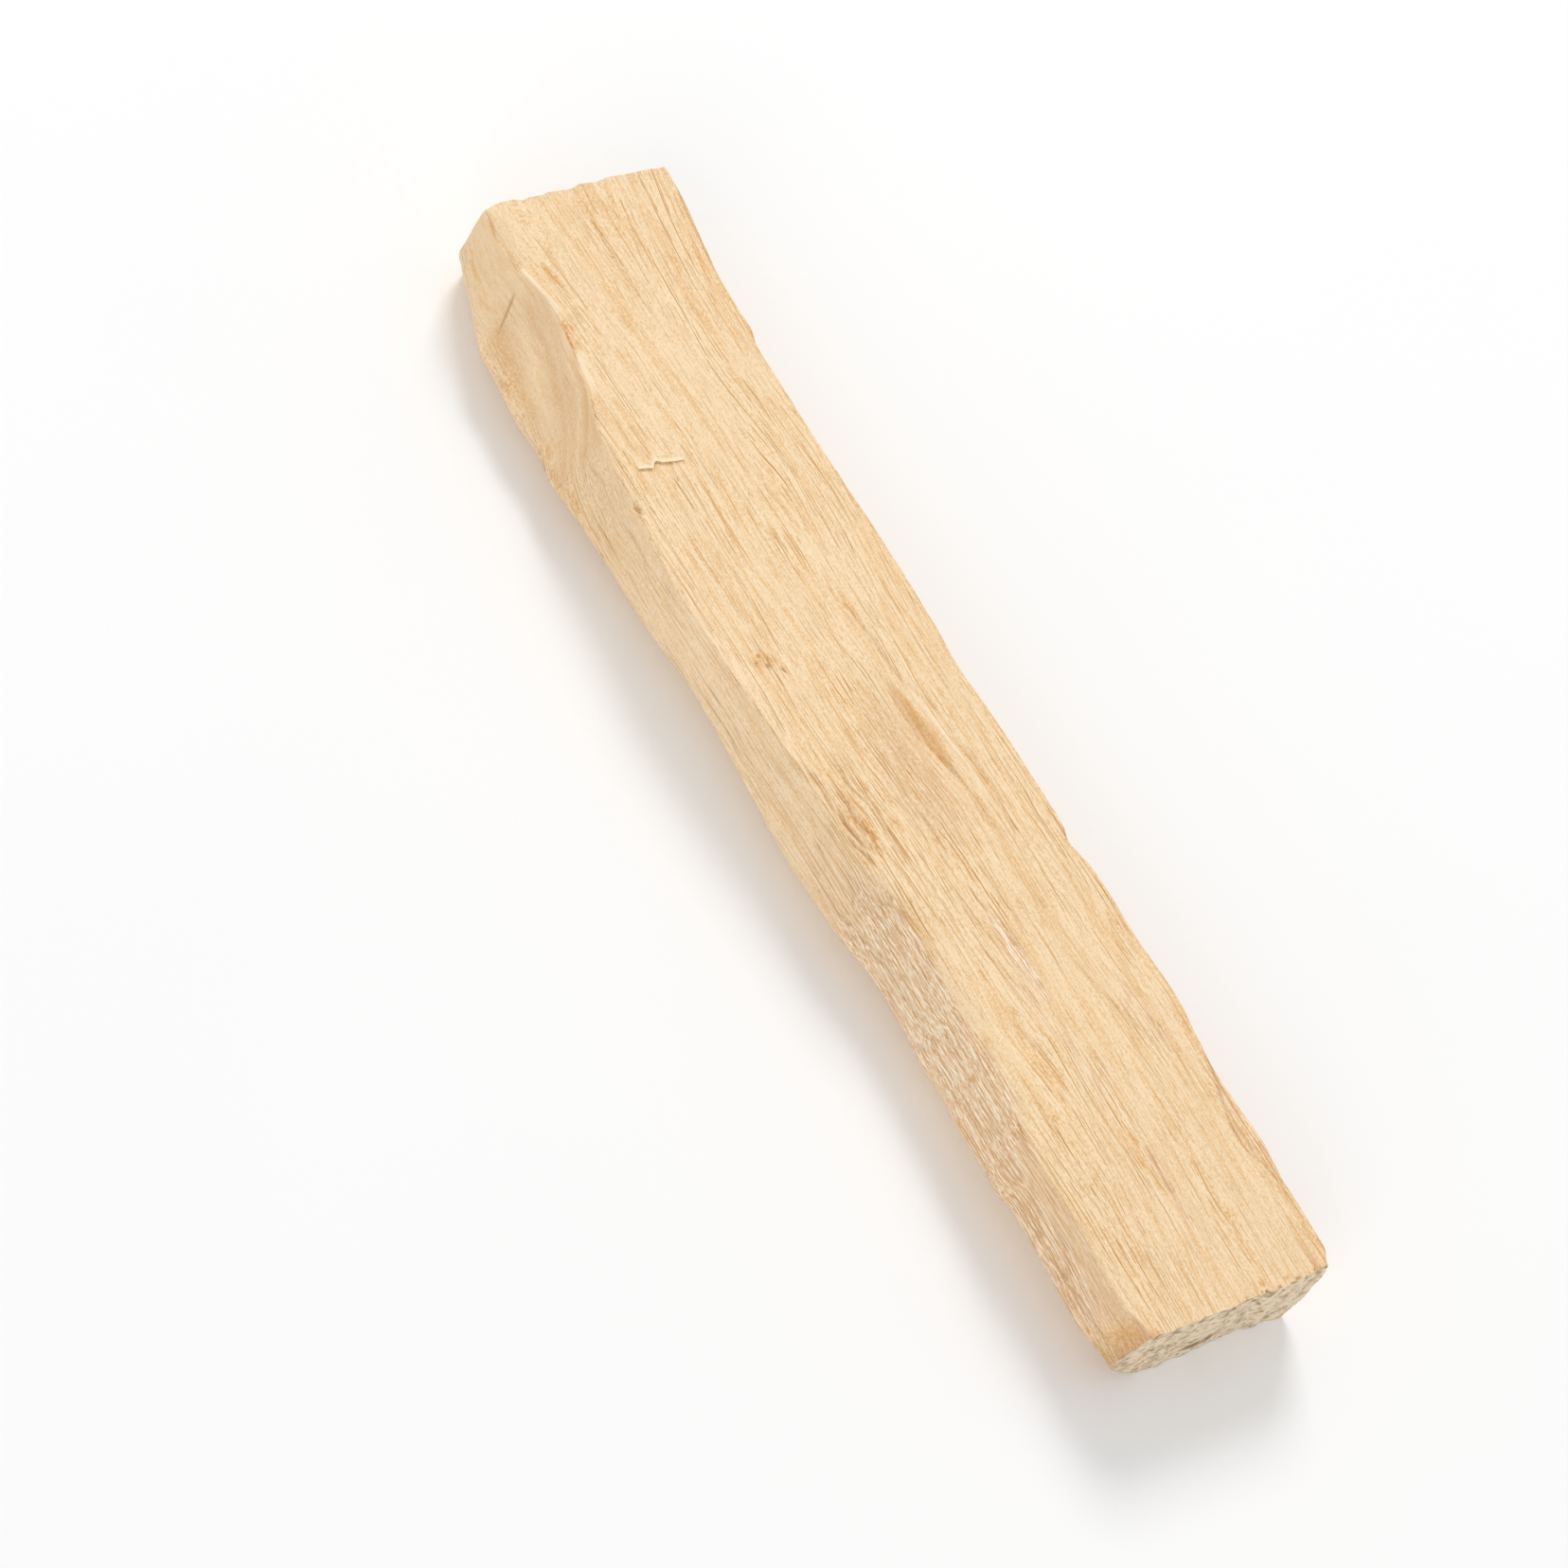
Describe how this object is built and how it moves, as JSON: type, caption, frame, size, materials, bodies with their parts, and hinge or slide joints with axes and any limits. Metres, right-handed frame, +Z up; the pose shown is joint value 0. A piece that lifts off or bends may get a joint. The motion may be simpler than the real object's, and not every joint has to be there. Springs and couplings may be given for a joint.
{
  "type": "palo santo stick",
  "caption": "Short hand-split stick of pale aromatic wood with a carved hollow at one corner, sawn across at both ends.",
  "frame": {"origin": "middle of the base of the bounding box, on the surface that the stick lies on", "axes": "+X along the grain towards the cleaner sawn end, +Z up through the wide face, -Y out of the carved side"},
  "size_m": [0.1102, 0.0224, 0.0094],
  "materials": {
    "palo_santo_wood": "raw split wood, matt, with open fibres and a faint silky sheen on one side"
  },
  "bodies": {
    "root": {"palo_santo_stick": "palo_santo_wood"}
  },
  "joints": []
}
